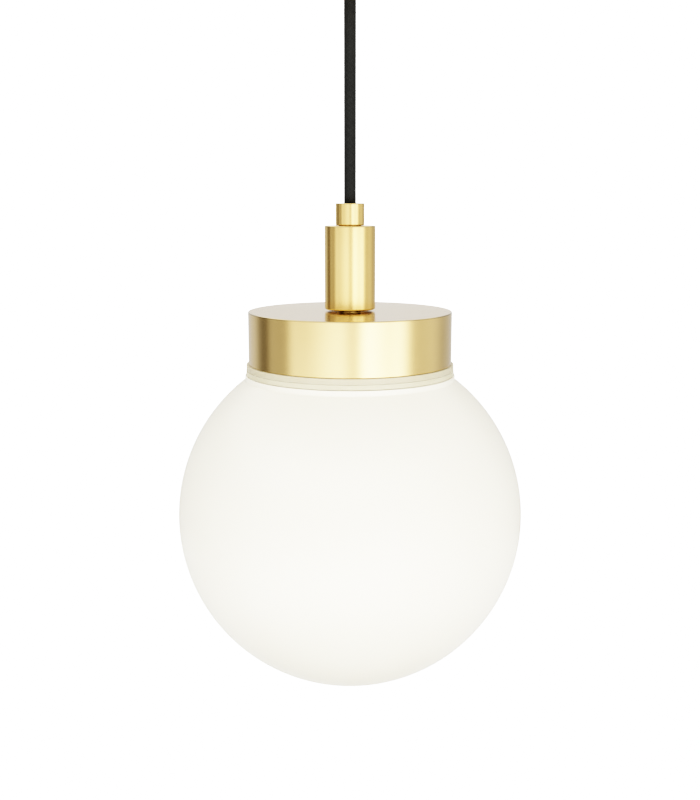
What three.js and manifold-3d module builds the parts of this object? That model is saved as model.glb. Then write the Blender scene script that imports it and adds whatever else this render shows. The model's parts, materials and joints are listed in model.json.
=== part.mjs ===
// Pendant ceiling light: an opal glass globe hung by a braided cord from a brass ceiling rose.
// Millimetres, +Z up. The origin is the middle of the rose's face on the ceiling, and the light
// hangs down along -Z.
import * as THREE from "three";
import Module from "manifold-3d";
import { mergeVertices } from "three/addons/utils/BufferGeometryUtils.js";

const wasm = await Module();
wasm.setup();

// ---- Driving dimensions ----

const GAP = 0.3; // between pieces that touch
const BIG_ROUND = 36; // sides of a wide turned piece
const MEDIUM_ROUND = 24;
const SMALL_ROUND = 16;
const CORD_SIDES = 10;
const CORE_SIDES = 6;

// Ceiling rose
const ROSE_RADIUS = 50;
const ROSE_DEPTH = 28;
const ROSE_WALL = 1.2;
const ROSE_RIM_GAP = 0.5; // the cup stops just short of the ceiling
const PLATE_RADIUS = 42;
const PLATE_THICKNESS = 2.5;
const TAB_FACE = 47.3; // outer face of each bent tab, from the axis
const TAB_WIDTH = 12;
const TAB_THICKNESS = 2;
const SLOT_CENTRE = 30;
const SLOT_WIDTH = 5;
const SLOT_LENGTH = 11;
const CABLE_HOLE_RADIUS = 8;
const CABLE_HOLE_X = 22;
const ROSE_SCREW_Z = -10;
const GRIP_LENGTH = 20;
const GRIP_FLANGE_RADIUS = 11;
const GRIP_RADIUS = 9; // under its flange
const GRIP_MOUTH_RADIUS = 7.4;

// Cord and its two bending points under the rose
const CORD_RADIUS = 3.3;
const CORE_RADIUS = 1.1;
const CORD_BORE = CORD_RADIUS + GAP;
const CORD_CONE = 1.75; // height of the coned end that lets the cord bend
const BEND_X_Z = -ROSE_DEPTH - GRIP_LENGTH + 4;
const BEND_Y_Z = BEND_X_Z - 16;

// Threaded tube, M10
const NIPPLE_RADIUS = 4.8;
const NIPPLE_HOLE = NIPPLE_RADIUS + GAP;
const NUT_FLATS = 14;

// Stem, collar and gallery. Heights are measured up from the gallery's top face.
const DROP = 224; // ceiling to the gallery's top face
const GALLERY_RADIUS = 58.2;
const GALLERY_HEIGHT = 30;
const GALLERY_WALL = 1.2;
const NECK_HEIGHT = 1; // the gap that shows under the stem
const NECK_RADIUS = 6;
const STEM_RADIUS = 14.4;
const STEM_WALL = 1.5;
const STEM_TOP = 48.1;
const COLLAR_RADIUS = 8.15;
const COLLAR_BOTTOM = 48.4;
const COLLAR_TOP = 60.6;

// Moulded insert, seal and globe
const INSERT_FLANGE_RADIUS = 59.5;
const INSERT_BOTTOM = -33.1;
const SEAL_RADIUS = 59.7;
const SEAL_BOTTOM = -35.8;
const GLOBE_RADIUS = 100;
const GLOBE_WALL = 3;
const GLOBE_CENTRE = -119;
const GLOBE_SHOULDER_RADIUS = 60.3;
const GLOBE_NECK_TOP = -9;
const GLOBE_THREAD = { pitch: 8, depth: 2.2, root: 51.5, play: 1 };

// Lampholder and lamp, E27
const LAMP_THREAD = { pitch: 3.629, depth: 1.1, root: 12, play: 0.6 };
const HOLDER_RADIUS = 20.4;
const HOLDER_WALL = 2;
const HOLDER_SPLIT = -34;
const HOLDER_BOTTOM = -64;
const LAMP_TIP_TOP = -39;
const LAMP_LENGTH = 105;
const LAMP_RADIUS = 30;

// ---- Materials ----

const material = (color, roughness, metalness) =>
  new THREE.MeshStandardMaterial({ color, roughness, metalness });

const brass = material(0xcaa65a, 0.34, 1);
const steel = material(0xb9bcc0, 0.4, 1);
const bronze = material(0xb9825a, 0.38, 1);
const braid = material(0x383632, 0.92, 0);
const silicone = material(0xe6e4d4, 0.5, 0);
const nylon = material(0xefece2, 0.55, 0);
const opal = material(0xfaf9f5, 0.3, 0);
const bakelite = material(0xe9e6de, 0.4, 0);
const porcelain = material(0xf2efe8, 0.25, 0);
const lampPlastic = material(0xf4f4f2, 0.45, 0);
const lampGlass = material(0xfbfaf4, 0.35, 0);
const blackGlass = material(0x1a1918, 0.3, 0);
const nickel = material(0xc9c8c4, 0.3, 1);
const brownPvc = material(0x6a4328, 0.5, 0);
const bluePvc = material(0x3f7fc0, 0.5, 0);
const earthPvc = material(0x9fb23a, 0.5, 0);

// ---- Solids ----

const pendantLight = new THREE.Group();
const pendant = new THREE.Group(); // everything measured from the gallery's top face
pendant.position.z = -DROP;
pendantLight.add(pendant);

// Merges shared corners, drops faces that have collapsed and turns the rest outwards.
function closed(geometry) {
  let bare = geometry.index ? geometry.toNonIndexed() : geometry.clone();
  for (const name of Object.keys(bare.attributes)) {
    if (name !== "position") {
      bare.deleteAttribute(name);
    }
  }
  bare = mergeVertices(bare, 1e-4);
  const points = bare.attributes.position;
  const [a, b, c] = [new THREE.Vector3(), new THREE.Vector3(), new THREE.Vector3()];
  const faces = [];
  let volume = 0;
  for (let i = 0; i < bare.index.count; i += 3) {
    const face = [bare.index.getX(i), bare.index.getX(i + 1), bare.index.getX(i + 2)];
    if (new Set(face).size < 3) {
      continue;
    }
    faces.push(face);
    a.fromBufferAttribute(points, face[0]);
    b.fromBufferAttribute(points, face[1]);
    c.fromBufferAttribute(points, face[2]);
    volume += a.dot(b.cross(c));
  }
  const outward = volume > 0 ? faces : faces.map(([p, q, r]) => [p, r, q]);
  bare.setIndex(outward.flat());
  return bare;
}

function toManifold(geometry) {
  const solid = closed(geometry);
  const vertProperties = new Float32Array(solid.attributes.position.array);
  const triVerts = new Uint32Array(solid.index.array);
  return new wasm.Manifold(new wasm.Mesh({ numProp: 3, vertProperties, triVerts }));
}

function fromManifold(solid) {
  const mesh = solid.getMesh();
  const geometry = new THREE.BufferGeometry();
  geometry.setAttribute("position", new THREE.BufferAttribute(mesh.vertProperties, 3));
  geometry.setIndex(new THREE.BufferAttribute(mesh.triVerts, 1));
  return geometry;
}

function join(first, ...others) {
  const joined = others.reduce((sum, other) => sum.add(toManifold(other)), toManifold(first));
  return fromManifold(joined);
}

function cut(first, ...tools) {
  const left = tools.reduce((rest, tool) => rest.subtract(toManifold(tool)), toManifold(first));
  return fromManifold(left);
}

// Turned solid about Z from [radius, height] points; a ring's outline closes on itself.
function turned(outline, sides = BIG_ROUND) {
  const points = outline.map(([radius, height]) => new THREE.Vector2(radius, height));
  const onAxis = outline[0][0] === 0 && outline[outline.length - 1][0] === 0;
  if (!onAxis) {
    points.push(points[0].clone());
  }
  return new THREE.LatheGeometry(points, sides).rotateX(Math.PI / 2);
}

const ring = (inner, outer, low, high, sides) =>
  turned([[inner, low], [outer, low], [outer, high], [inner, high]], sides);

const rod = (radius, low, high, sides = SMALL_ROUND) =>
  turned([[0, low], [radius, low], [radius, high], [0, high]], sides);

// A rod along X, from x = near to x = far.
const rodAlongX = (radius, near, far, sides = SMALL_ROUND) =>
  rod(radius, Math.min(near, far), Math.max(near, far), sides).rotateY(Math.PI / 2);

function block(sizeX, sizeY, low, high) {
  return new THREE.BoxGeometry(sizeX, sizeY, high - low).translate(0, 0, (low + high) / 2);
}

// Points of an arc in a turned outline, angles in degrees from the radial direction.
function arc(centreRadius, centreHeight, radius, from, to, steps) {
  return Array.from({ length: steps + 1 }, (_, i) => {
    const angle = THREE.MathUtils.degToRad(from + ((to - from) * i) / steps);
    return [centreRadius + radius * Math.cos(angle), centreHeight + radius * Math.sin(angle)];
  });
}

// Heights from one end of a straight wall to the other, so that a thread has rows to follow.
function rows(radius, from, to, step) {
  const count = Math.ceil(Math.abs(to - from) / step);
  return Array.from({ length: count + 1 }, (_, i) => [radius, from + ((to - from) * i) / count]);
}

// Presses a right-hand round thread into the wall of a turned solid that stands at wallRadius.
// An outer thread rises from its root, and an inner thread keeps thread.play clear of it.
function threaded(geometry, thread, wallRadius, low, high, inner) {
  const points = geometry.attributes.position;
  for (let i = 0; i < points.count; i += 1) {
    const [x, y, z] = [points.getX(i), points.getY(i), points.getZ(i)];
    const radius = Math.hypot(x, y);
    const onWall = Math.abs(radius - wallRadius) < 0.01;
    const depthIn = Math.min(z - low, high - z);
    if (!onWall || depthIn <= 0) {
      continue;
    }
    const runIn = Math.min(1, depthIn / (thread.pitch / 2));
    const turn = z / thread.pitch - Math.atan2(y, x) / (2 * Math.PI);
    const crest = (1 + Math.cos(2 * Math.PI * turn)) / 2;
    const lift = inner ? -thread.depth * (1 - crest) : thread.depth * crest;
    const scale = (radius + runIn * lift) / radius;
    points.setXY(i, x * scale, y * scale);
  }
  return geometry;
}

const innerThreadWall = (thread) => thread.root + thread.depth + thread.play;

// A flat plate of a drawn outline, from z = low to z = high.
function plate(shape, low, high, curveSegments = 6) {
  const options = { depth: high - low, bevelEnabled: false, curveSegments };
  return new THREE.ExtrudeGeometry(shape, options).translate(0, 0, low);
}

function hexNut(flats, hole, low, high) {
  const shape = new THREE.Shape();
  for (let i = 0; i < 6; i += 1) {
    const angle = ((i + 0.5) * Math.PI) / 3;
    const corner = flats / 2 / Math.cos(Math.PI / 6);
    shape[i === 0 ? "moveTo" : "lineTo"](corner * Math.cos(angle), corner * Math.sin(angle));
  }
  shape.closePath();
  shape.holes.push(new THREE.Path().absarc(0, 0, hole, 0, 2 * Math.PI, true));
  return plate(shape, low, high, SMALL_ROUND);
}

// A round wire through the given points.
function wire(points, radius, sides, steps) {
  const path = new THREE.CatmullRomCurve3(points.map((point) => new THREE.Vector3(...point)));
  const section = new THREE.Shape();
  for (let i = 0; i < sides; i += 1) {
    const angle = (2 * Math.PI * i) / sides;
    section[i === 0 ? "moveTo" : "lineTo"](radius * Math.cos(angle), radius * Math.sin(angle));
  }
  section.closePath();
  return new THREE.ExtrudeGeometry(section, { steps, extrudePath: path });
}

// A slotted round-head screw standing on z = 0, with its head up and its shank down.
function screw(headRadius, headHeight, shankRadius, length) {
  const outline = [
    [0, -length],
    [shankRadius, -length],
    [shankRadius, 0],
    [headRadius, 0],
    [headRadius, headHeight * 0.5],
    [headRadius * 0.7, headHeight],
    [0, headHeight],
  ];
  const slot = block(headRadius * 3, headRadius * 0.3, headHeight * 0.55, headHeight + 1);
  return cut(turned(outline, SMALL_ROUND), slot);
}

function add(group, name, look, geometry) {
  const mesh = new THREE.Mesh(closed(geometry), look);
  mesh.name = name;
  group.add(mesh);
  return mesh;
}

// ---- Ceiling rose ----

const TAB_LENGTH = 16;
const tabs = [-1, 1].map((side) => {
  const arm = block(TAB_FACE - PLATE_RADIUS + 6, TAB_WIDTH, -PLATE_THICKNESS, 0);
  const leg = block(TAB_THICKNESS, TAB_WIDTH, -TAB_LENGTH, 0);
  arm.translate(side * (TAB_FACE + PLATE_RADIUS - 6) / 2, 0, 0);
  leg.translate(side * (TAB_FACE - TAB_THICKNESS / 2), 0, 0);
  return [arm, leg];
});

const ROSE_SCREW_RADIUS = 1.8;
const slots = [-1, 1].map((side) => {
  const shape = new THREE.Shape();
  const half = (SLOT_LENGTH - SLOT_WIDTH) / 2;
  shape.absarc(half, 0, SLOT_WIDTH / 2, -Math.PI / 2, Math.PI / 2, false);
  shape.absarc(-half, 0, SLOT_WIDTH / 2, Math.PI / 2, (3 * Math.PI) / 2, false);
  return plate(shape, -PLATE_THICKNESS - 1, 1).translate(0, side * SLOT_CENTRE, 0);
});

add(
  pendantLight,
  "ceiling_plate",
  steel,
  cut(
    join(rod(PLATE_RADIUS, -PLATE_THICKNESS, 0, BIG_ROUND), ...tabs.flat()),
    ...slots,
    rod(CABLE_HOLE_RADIUS, -PLATE_THICKNESS - 1, 1).translate(CABLE_HOLE_X, 0, 0),
    rodAlongX(ROSE_SCREW_RADIUS + GAP, -ROSE_RADIUS, ROSE_RADIUS).translate(0, 0, ROSE_SCREW_Z),
  ),
);

const CUP_EDGE = 2; // outer radius between the cup's wall and its floor
const cupInner = ROSE_RADIUS - ROSE_WALL;
const cupFloor = -ROSE_DEPTH + ROSE_WALL;
const cup = turned([
  [NIPPLE_HOLE + 0.1, -ROSE_DEPTH],
  ...arc(ROSE_RADIUS - CUP_EDGE, -ROSE_DEPTH + CUP_EDGE, CUP_EDGE, -90, 0, 4),
  [ROSE_RADIUS, -ROSE_RIM_GAP],
  [cupInner, -ROSE_RIM_GAP],
  [cupInner, cupFloor],
  [NIPPLE_HOLE + 0.1, cupFloor],
]);
const cupHoles = rodAlongX(ROSE_SCREW_RADIUS + GAP, -ROSE_RADIUS - 1, ROSE_RADIUS + 1);
add(pendantLight, "rose_cup", brass, cut(cup, cupHoles.translate(0, 0, ROSE_SCREW_Z)));

for (const [index, side] of [-1, 1].entries()) {
  const roseScrew = screw(3.6, 2.2, ROSE_SCREW_RADIUS, 7.5);
  roseScrew.rotateY((side * Math.PI) / 2).translate(side * (ROSE_RADIUS + GAP), 0, ROSE_SCREW_Z);
  add(pendantLight, `rose_screw_${index + 1}`, brass, roseScrew);
}

// The grip hangs under the cup, tapers down and opens in a bell mouth, which the cord bends in.
const gripTop = -ROSE_DEPTH - GAP;
const gripMouth = -ROSE_DEPTH - GRIP_LENGTH;
const GRIP_FLANGE = 2.2;
const grip = turned(
  [
    [CORD_BORE, gripTop + 6],
    [NIPPLE_RADIUS, gripTop + 6],
    [NIPPLE_RADIUS, gripTop],
    [GRIP_FLANGE_RADIUS, gripTop],
    [GRIP_FLANGE_RADIUS, gripTop - GRIP_FLANGE + 0.5],
    [GRIP_FLANGE_RADIUS - 0.5, gripTop - GRIP_FLANGE],
    [GRIP_RADIUS, gripTop - GRIP_FLANGE],
    [GRIP_MOUTH_RADIUS, gripMouth + 0.5],
    [GRIP_MOUTH_RADIUS - 0.4, gripMouth],
    [6.5, gripMouth],
    [5.4, gripMouth + 2.1],
    [4.4, gripMouth + 4.1],
    [CORD_BORE, gripMouth + 4.8],
  ],
  MEDIUM_ROUND,
);
const GRIP_SCREW_RADIUS = 1.5;
const GRIP_SCREW_Z = gripMouth + 10;
const gripScrewHole = rodAlongX(GRIP_SCREW_RADIUS + GAP, 0, GRIP_RADIUS + 1);
add(pendantLight, "cord_grip", brass, cut(grip, gripScrewHole.translate(0, 0, GRIP_SCREW_Z)));

const gripScrew = cut(
  rodAlongX(GRIP_SCREW_RADIUS, CORD_RADIUS + GAP, GRIP_RADIUS - 0.8, 12),
  block(1.2, 4, -0.25, 0.25).translate(GRIP_RADIUS - 0.6, 0, 0),
);
add(pendantLight, "grip_screw", nylon, gripScrew.translate(0, 0, GRIP_SCREW_Z));

add(
  pendantLight,
  "grip_nut",
  steel,
  hexNut(NUT_FLATS, NIPPLE_HOLE, cupFloor + GAP, cupFloor + GAP + 3),
);

// The fixed end of the cord: clamped in the grip, with its sheath cut back inside the cup.
const TAIL_TOP = -17;
const cordTail = rod(CORD_RADIUS, BEND_X_Z + GAP, TAIL_TOP, CORD_SIDES);
add(pendantLight, "cord_tail", braid, cordTail);

const BLOCK = { x: -20, sizeX: 14, sizeY: 34, top: -PLATE_THICKNESS - GAP, height: 11 };
const BLOCK_WAYS = [-10, 0, 10];
const BLOCK_HOLE = CORE_RADIUS + 0.6;
const blockBottom = BLOCK.top - BLOCK.height;
const wireEntryZ = blockBottom + 5;
const blockBores = BLOCK_WAYS.flatMap((y) => [
  rodAlongX(BLOCK_HOLE, -BLOCK.sizeX, BLOCK.sizeX, 12).translate(BLOCK.x, y, wireEntryZ),
  rod(1.9, blockBottom - 1, wireEntryZ, 12).translate(BLOCK.x - 3.5, y, 0),
]);
const blockBody = block(BLOCK.sizeX, BLOCK.sizeY, blockBottom, BLOCK.top);
add(pendantLight, "terminal_block", nylon, cut(blockBody.translate(BLOCK.x, 0, 0), ...blockBores));

for (const [index, y] of BLOCK_WAYS.entries()) {
  const terminalScrew = cut(
    rod(1.5, blockBottom + 0.4, wireEntryZ - 1, 12),
    block(4, 0.5, blockBottom, blockBottom + 1),
  );
  terminalScrew.translate(BLOCK.x - 3.5, y, 0);
  add(pendantLight, `block_screw_${index + 1}`, steel, terminalScrew);
}

// Three cores fan out of the cut sheath and turn into the block.
const coreSpread = CORD_RADIUS * 0.5;
const blockFace = BLOCK.x + BLOCK.sizeX / 2;
const topCores = [["blue", bluePvc, -1], ["brown", brownPvc, 0], ["earth", earthPvc, 1]];
for (const [index, [colour, look, side]] of topCores.entries()) {
  const start = [side === 0 ? -coreSpread : 0.6, side * coreSpread * 1.05, TAIL_TOP + GAP];
  const path = [
    start,
    [start[0] - 0.3, start[1] + side * 0.6, TAIL_TOP + 3],
    [-5.5, side * 6, wireEntryZ + 0.6],
    [blockFace + 1.5, BLOCK_WAYS[index], wireEntryZ],
    [blockFace - 3, BLOCK_WAYS[index], wireEntryZ],
  ];
  add(pendantLight, `rose_core_${colour}`, look, wire(path, CORE_RADIUS, CORE_SIDES, 12));
}

// ---- Hanging cord ----

// A straight length of cord whose upper end is coned, so that it can lean about its tip.
function hangingCord(top, bottom) {
  const outline = [[0, bottom], [CORD_RADIUS, bottom], [CORD_RADIUS, top - CORD_CONE], [0, top]];
  return turned(outline, CORD_SIDES);
}

add(pendantLight, "cord_top", braid, hangingCord(BEND_X_Z, BEND_Y_Z + GAP));
add(pendantLight, "cord", braid, hangingCord(BEND_Y_Z, COLLAR_TOP + GAP - DROP));

// ---- Collar and stem ----

const SPIGOT_RADIUS = 6.3;
const SPIGOT_BORE = 5;
const SPIGOT_TOP = 55;
const collarBore = SPIGOT_RADIUS + GAP;
const EDGE = 0.5; // small chamfer on turned brass edges
const collar = turned(
  [
    [CORD_BORE, COLLAR_TOP],
    [COLLAR_RADIUS - EDGE, COLLAR_TOP],
    [COLLAR_RADIUS, COLLAR_TOP - EDGE],
    [COLLAR_RADIUS, COLLAR_BOTTOM + EDGE],
    [COLLAR_RADIUS - EDGE, COLLAR_BOTTOM],
    [collarBore, COLLAR_BOTTOM],
    [collarBore, COLLAR_TOP - 2],
    [CORD_BORE, COLLAR_TOP - 2],
  ],
  MEDIUM_ROUND,
);
add(pendant, "collar", brass, collar);

// Slit nylon collet, squeezed onto the cord between the collar and the spigot.
const COLLET_FLANGE = 3;
const colletTop = COLLAR_TOP - 2 - GAP;
const collet = turned(
  [
    [CORD_BORE, SPIGOT_TOP - 5],
    [SPIGOT_BORE - GAP, SPIGOT_TOP - 5],
    [SPIGOT_BORE - GAP, colletTop - COLLET_FLANGE],
    [SPIGOT_RADIUS - GAP, colletTop - COLLET_FLANGE],
    [SPIGOT_RADIUS - GAP, colletTop],
    [CORD_BORE, colletTop],
  ],
  MEDIUM_ROUND,
);
const slits = [0, 1, 2].map((i) =>
  block(8, 0.6, SPIGOT_TOP - 6, SPIGOT_TOP - 1)
    .translate(4, 0, 0)
    .rotateZ((i * 2 * Math.PI) / 3),
);
add(pendant, "cord_collet", nylon, cut(collet, ...slits));

const stemInner = STEM_RADIUS - STEM_WALL;
const stem = turned(
  [
    [stemInner, NECK_HEIGHT],
    [STEM_RADIUS - EDGE, NECK_HEIGHT],
    [STEM_RADIUS, NECK_HEIGHT + EDGE],
    [STEM_RADIUS, STEM_TOP - EDGE],
    [STEM_RADIUS - EDGE, STEM_TOP],
    [SPIGOT_RADIUS, STEM_TOP],
    [SPIGOT_RADIUS, SPIGOT_TOP],
    [SPIGOT_BORE, SPIGOT_TOP],
    [SPIGOT_BORE, STEM_TOP - 3],
    [stemInner, STEM_TOP - 3],
  ],
  MEDIUM_ROUND,
);
add(pendant, "stem", brass, stem);

// A bush set back in the stem's foot takes the threaded tube and carries the earth screw.
const BUSH_TOP = 10;
const BUSH_BOTTOM = 3.5;
const EARTH_SCREW_X = -8.4;
const bush = ring(NIPPLE_HOLE, stemInner - GAP, BUSH_BOTTOM, BUSH_TOP, MEDIUM_ROUND);
const bushHole = rod(1.5 + GAP, BUSH_TOP - 5.4, BUSH_TOP + 1, 12).translate(EARTH_SCREW_X, 0, 0);
add(pendant, "stem_bush", brass, cut(bush, bushHole));
const earthScrew = screw(2.6, 1.8, 1.5, 5).translate(EARTH_SCREW_X, 0, BUSH_TOP + GAP);
add(pendant, "earth_screw", steel, earthScrew);

const NIPPLE_TOP = 9.5;
const NIPPLE_BOTTOM = -20;
const nipple = ring(CORD_BORE, NIPPLE_RADIUS, NIPPLE_BOTTOM, NIPPLE_TOP, SMALL_ROUND);
add(pendant, "threaded_tube", steel, nipple);
const neckSpacer = ring(NIPPLE_HOLE, NECK_RADIUS, GAP, BUSH_BOTTOM - GAP, MEDIUM_ROUND);
add(pendant, "neck_spacer", brass, neckSpacer);

// The sheathed cord runs through the collar and ends in the stem, where its cores part.
const SHEATH_END = 30;
add(pendant, "cord_inner", braid, rod(CORD_RADIUS, SHEATH_END, COLLAR_TOP, CORD_SIDES));

// ---- Gallery and insert ----

const galleryInner = GALLERY_RADIUS - GALLERY_WALL;
const gallery = turned([
  [NIPPLE_HOLE, 0],
  [GALLERY_RADIUS - EDGE, 0],
  [GALLERY_RADIUS, -EDGE],
  [GALLERY_RADIUS, -GALLERY_HEIGHT],
  [galleryInner, -GALLERY_HEIGHT],
  [galleryInner, -GALLERY_WALL],
  [NIPPLE_HOLE, -GALLERY_WALL],
]);
add(pendant, "gallery", brass, gallery);

const insertTop = -GALLERY_WALL - GAP;
const INSERT_FLOOR = 2;
const insertWall = innerThreadWall(GLOBE_THREAD);
const insertFlangeTop = -GALLERY_HEIGHT - GAP;
const INSERT_THREAD_TOP = insertTop - INSERT_FLOOR - 4;
const THREAD_ROW = GLOBE_THREAD.pitch / 5;
const insert = turned([
  [NIPPLE_HOLE, insertTop],
  [galleryInner - GAP, insertTop],
  [galleryInner - GAP, insertFlangeTop],
  [INSERT_FLANGE_RADIUS, insertFlangeTop],
  [INSERT_FLANGE_RADIUS, INSERT_BOTTOM],
  ...rows(insertWall, INSERT_BOTTOM, INSERT_THREAD_TOP, THREAD_ROW),
  [insertWall, insertTop - INSERT_FLOOR],
  [NIPPLE_HOLE, insertTop - INSERT_FLOOR],
]);
threaded(insert, GLOBE_THREAD, insertWall, INSERT_BOTTOM, INSERT_THREAD_TOP, true);
add(pendant, "thread_insert", nylon, insert);

const washerTop = insertTop - INSERT_FLOOR - GAP;
const WASHER_THICKNESS = 1.2;
add(
  pendant,
  "clamp_washer",
  steel,
  ring(NIPPLE_HOLE, 14, washerTop - WASHER_THICKNESS, washerTop, MEDIUM_ROUND),
);
const nutTop = washerTop - WASHER_THICKNESS - GAP;
const nutBottom = nutTop - 4;
add(pendant, "tube_nut", steel, hexNut(NUT_FLATS, NIPPLE_HOLE, nutBottom, nutTop));

// ---- Lampholder ----

const hubTop = nutBottom - GAP;
const hubBottom = NIPPLE_BOTTOM - GAP;
const HUB_RADIUS = 9;
const holderCap = turned(
  [
    [NIPPLE_HOLE, hubTop],
    [HUB_RADIUS, hubTop],
    [HUB_RADIUS + 0.6, hubTop - 5],
    [HOLDER_RADIUS - 3, hubBottom - 1],
    [HOLDER_RADIUS, hubBottom - 6],
    [HOLDER_RADIUS, HOLDER_SPLIT],
    [HOLDER_RADIUS - HOLDER_WALL, HOLDER_SPLIT],
    [HOLDER_RADIUS - HOLDER_WALL, hubBottom - 5],
    [HOLDER_RADIUS - 5, hubBottom - 3],
    [NIPPLE_HOLE, hubBottom - 0.8],
  ],
  MEDIUM_ROUND,
);
const grubHole = rodAlongX(1.5 + GAP, 0, HUB_RADIUS + 2, 12).translate(0, 0, hubTop - 3);
add(pendant, "holder_cap", bakelite, cut(holderCap, grubHole));
const grub = rodAlongX(1.5, NIPPLE_HOLE + 0.2, HUB_RADIUS, 12).translate(0, 0, hubTop - 3);
add(pendant, "holder_grub_screw", steel, grub);

// Porcelain terminal body: two wire wells from above, two screws from the side.
const coreTop = hubBottom - 7.2;
const coreBottom = -36.3;
const CORE_BODY_RADIUS = HOLDER_RADIUS - HOLDER_WALL - GAP;
const WELL_X = 9;
const WELL_RADIUS = 2.2;
const WELL_FLOOR = -33;
const SCREW_Z = -30.5;
const wells = [-1, 1].flatMap((side) => [
  rod(WELL_RADIUS, WELL_FLOOR, coreTop + 1, 12).translate(side * WELL_X, 0, 0),
  rodAlongX(1.8, side * WELL_X, side * (CORE_BODY_RADIUS + 1), 12).translate(0, 0, SCREW_Z),
]);
const terminalBody = rod(CORE_BODY_RADIUS - 2, coreBottom, coreTop, MEDIUM_ROUND);
add(pendant, "holder_core", porcelain, cut(terminalBody, ...wells));
for (const [index, side] of [-1, 1].entries()) {
  const terminalScrew = rodAlongX(
    1.5,
    side * (WELL_X + CORE_RADIUS + GAP),
    side * (CORE_BODY_RADIUS - 2.4),
    12,
  );
  terminalScrew.translate(0, 0, SCREW_Z);
  add(pendant, `holder_screw_${index + 1}`, steel, terminalScrew);
}

// Cores: live and neutral run down the threaded tube, and the earth stops at the bush.
for (const [colour, look, side] of [["brown", brownPvc, -1], ["blue", bluePvc, 1]]) {
  const inTube = side * (CORE_RADIUS + GAP);
  const path = [
    [side * 1.5, -0.9, SHEATH_END - GAP],
    [inTube, -0.4, SHEATH_END - 8],
    [inTube, 0, NIPPLE_TOP],
    [inTube, 0, -5],
    [inTube, 0, NIPPLE_BOTTOM + 4],
    [inTube, 0, NIPPLE_BOTTOM + 1],
    [side * 1.9, 0, NIPPLE_BOTTOM - 1.5],
    [side * (WELL_X - 4.8), 0, coreTop + 3.4],
    [side * (WELL_X - 1.1), 0, coreTop + 2.5],
    [side * WELL_X, 0, coreTop],
    [side * WELL_X, 0, WELL_FLOOR + GAP],
  ];
  add(pendant, `core_${colour}`, look, wire(path, CORE_RADIUS, CORE_SIDES, 32));
}
const earthPath = [
  [0, 1.8, SHEATH_END - GAP],
  [0, 1.9, SHEATH_END - 2],
  [-1, 3.5, SHEATH_END - 6],
  [-6, 5.6, BUSH_TOP + 9],
  [EARTH_SCREW_X + 0.4, 4.6, BUSH_TOP + 3.5],
  [EARTH_SCREW_X + 0.2, 3.9, BUSH_TOP + CORE_RADIUS + GAP],
];
add(pendant, "core_earth", earthPvc, wire(earthPath, CORE_RADIUS, CORE_SIDES, 12));

// Threaded metal shell and its spring contact.
const shellTop = coreBottom - GAP;
const SHELL_WALL = 0.8;
const SHELL_THREAD_TOP = -42;
const SHELL_THREAD_BOTTOM = -60;
const shellInner = innerThreadWall(LAMP_THREAD);
const LAMP_ROW = LAMP_THREAD.pitch / 4;
const shell = turned(
  [
    [6.5, shellTop],
    [shellInner + SHELL_WALL, shellTop],
    [shellInner + SHELL_WALL, SHELL_THREAD_BOTTOM],
    ...rows(shellInner, SHELL_THREAD_BOTTOM, SHELL_THREAD_TOP, LAMP_ROW),
    [shellInner, shellTop - SHELL_WALL],
    [6.5, shellTop - SHELL_WALL],
  ],
  24,
);
threaded(shell, LAMP_THREAD, shellInner, SHELL_THREAD_BOTTOM, SHELL_THREAD_TOP, true);
add(pendant, "holder_shell", nickel, shell);

const tongue = new THREE.Shape();
tongue.moveTo(-6, coreBottom - GAP);
tongue.lineTo(-2, coreBottom - GAP);
tongue.lineTo(3.5, coreBottom - GAP - 1);
tongue.lineTo(4, coreBottom - GAP - 1.6);
tongue.lineTo(3.4, coreBottom - GAP - 1.8);
tongue.lineTo(-2.2, coreBottom - GAP - 0.6);
tongue.lineTo(-6, coreBottom - GAP - 0.6);
tongue.closePath();
const contact = new THREE.ExtrudeGeometry(tongue, { depth: 4, bevelEnabled: false });
contact.rotateX(Math.PI / 2).translate(0, 2, 0);
add(pendant, "centre_contact", bronze, contact);

const skirt = turned(
  [
    [shellInner + SHELL_WALL + GAP, HOLDER_SPLIT - 3],
    [HOLDER_RADIUS - HOLDER_WALL - GAP, HOLDER_SPLIT - 3],
    [HOLDER_RADIUS - HOLDER_WALL - GAP, HOLDER_SPLIT - GAP],
    [HOLDER_RADIUS, HOLDER_SPLIT - GAP],
    [HOLDER_RADIUS, HOLDER_SPLIT - 8],
    [HOLDER_RADIUS - 2.4, HOLDER_BOTTOM + 1],
    [HOLDER_RADIUS - 3.4, HOLDER_BOTTOM],
    [shellInner + SHELL_WALL + GAP, HOLDER_BOTTOM],
  ],
  MEDIUM_ROUND,
);
add(pendant, "holder_skirt", bakelite, skirt);

// ---- Globe and its seal ----

const sealTop = INSERT_BOTTOM - GAP;
const sealInner = insertWall - 0.2;
add(pendant, "globe_seal", silicone, ring(sealInner, SEAL_RADIUS, SEAL_BOTTOM, sealTop));

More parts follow.
